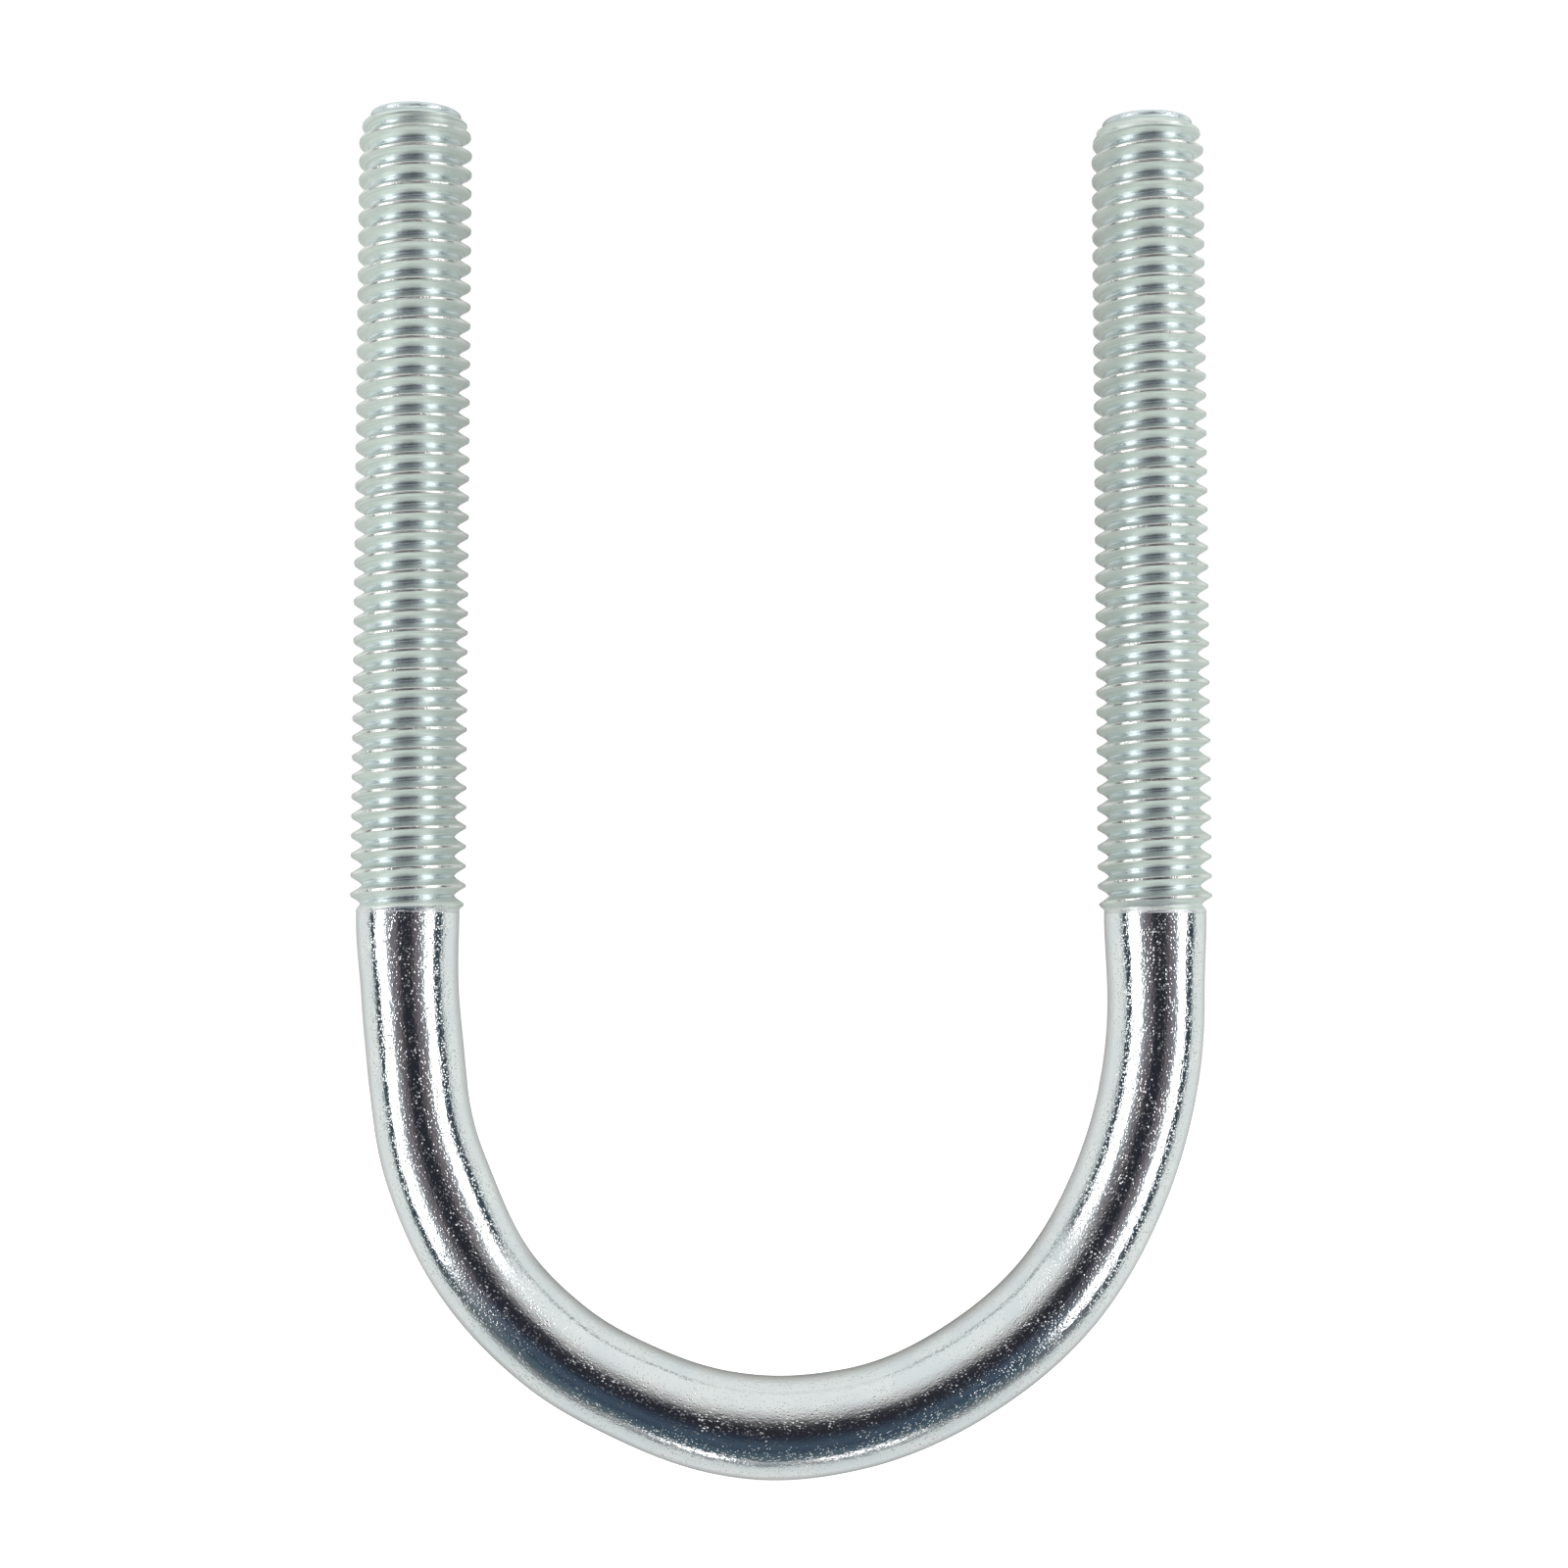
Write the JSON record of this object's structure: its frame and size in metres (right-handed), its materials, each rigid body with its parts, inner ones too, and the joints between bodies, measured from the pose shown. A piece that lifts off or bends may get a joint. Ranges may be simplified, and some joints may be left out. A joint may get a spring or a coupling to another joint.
{
  "type": "u-bolt",
  "caption": "Zinc-plated steel U-bolt for round tube: a round bar bent into a U with long rolled threads on both legs.",
  "frame": {"origin": "centre of the bend, on the axis of the pipe that the U holds", "axes": "+Z along the legs towards their threaded ends, +X from the left leg to the right leg, +Y along the held pipe's axis"},
  "size_m": [0.07, 0.0092, 0.1112],
  "materials": {
    "zinc_bar": "bright zinc plating over drawn steel bar, with fine grain and small pits",
    "zinc_thread": "pale blue-green zinc plating over a rolled thread, with small nicks on the crests"
  },
  "bodies": {
    "root": {"bend": "zinc_bar", "left_shank": "zinc_bar", "right_shank": "zinc_bar", "left_thread": "zinc_thread", "right_thread": "zinc_thread"}
  },
  "joints": []
}
